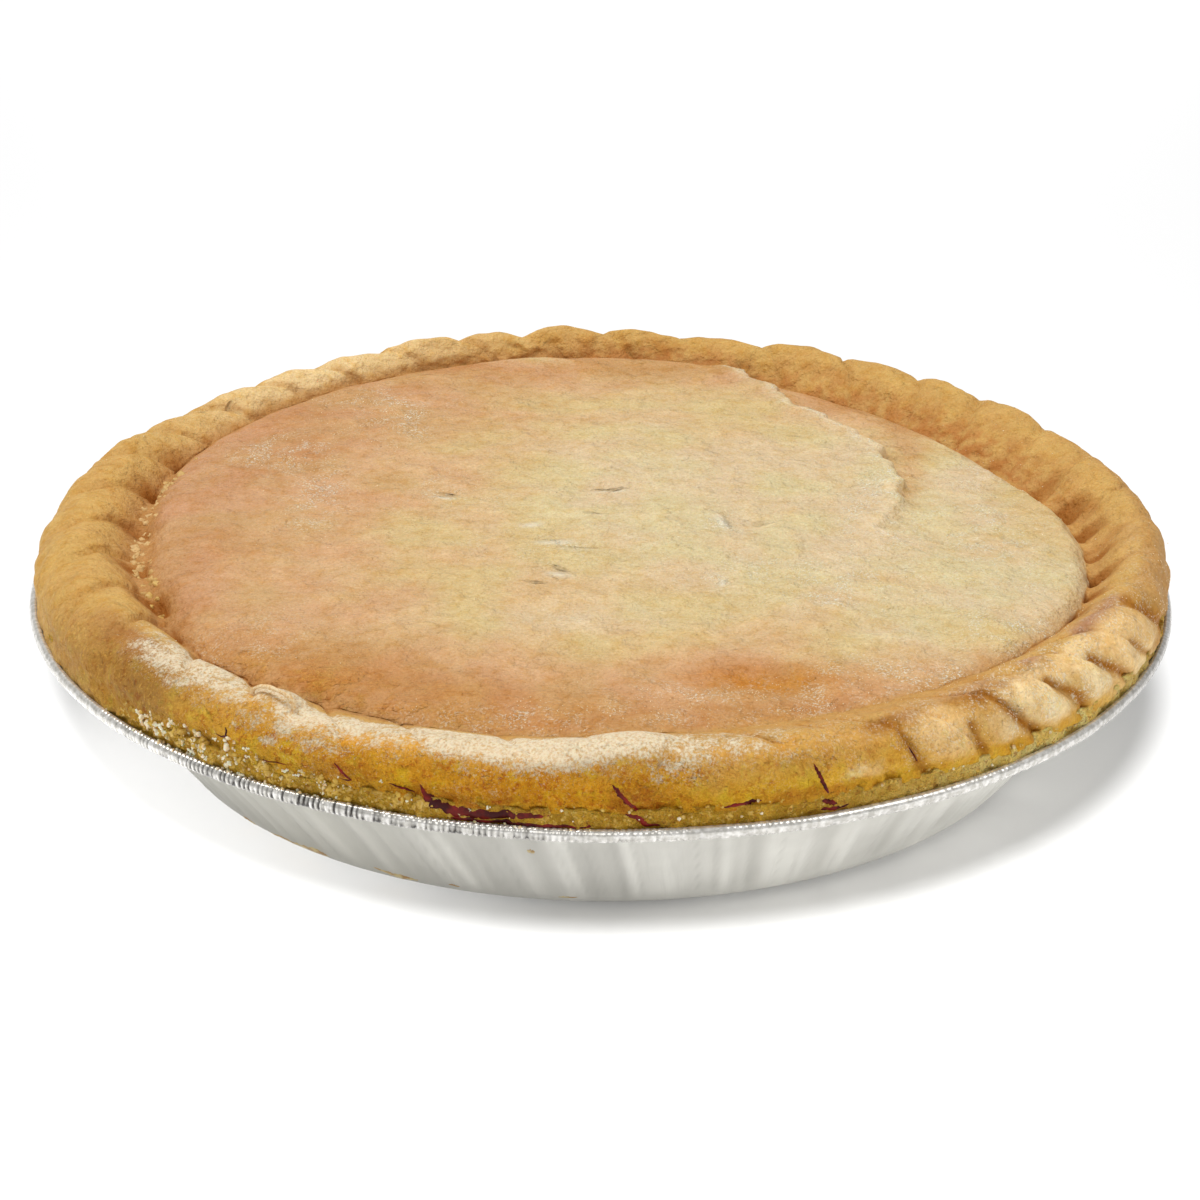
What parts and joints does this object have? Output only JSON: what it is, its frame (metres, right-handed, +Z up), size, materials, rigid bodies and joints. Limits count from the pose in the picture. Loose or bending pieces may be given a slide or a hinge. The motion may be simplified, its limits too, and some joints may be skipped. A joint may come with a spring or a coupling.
{
  "type": "apple pie in a foil dish",
  "caption": "Whole covered apple pie with a thick crimped rim and a pale browned lid, baked in a round shallow foil dish with a rolled edge.",
  "frame": {"origin": "centre of the foil dish's flat underside, which rests on z = 0", "axes": "+Z up through the middle of the lid, -Y towards the side where juice shows in the seam, +X towards the lower shelf of the lid"},
  "size_m": [0.228, 0.228, 0.0459],
  "materials": {
    "foil": "satin rolled foil with soft pleats and a fine crimped edge",
    "bottom_crust": null,
    "filling": null,
    "top_crust": null
  },
  "bodies": {
    "root": {"foil_dish": "foil", "bottom_crust": "bottom_crust", "filling": "filling", "top_crust": "top_crust"}
  },
  "joints": []
}
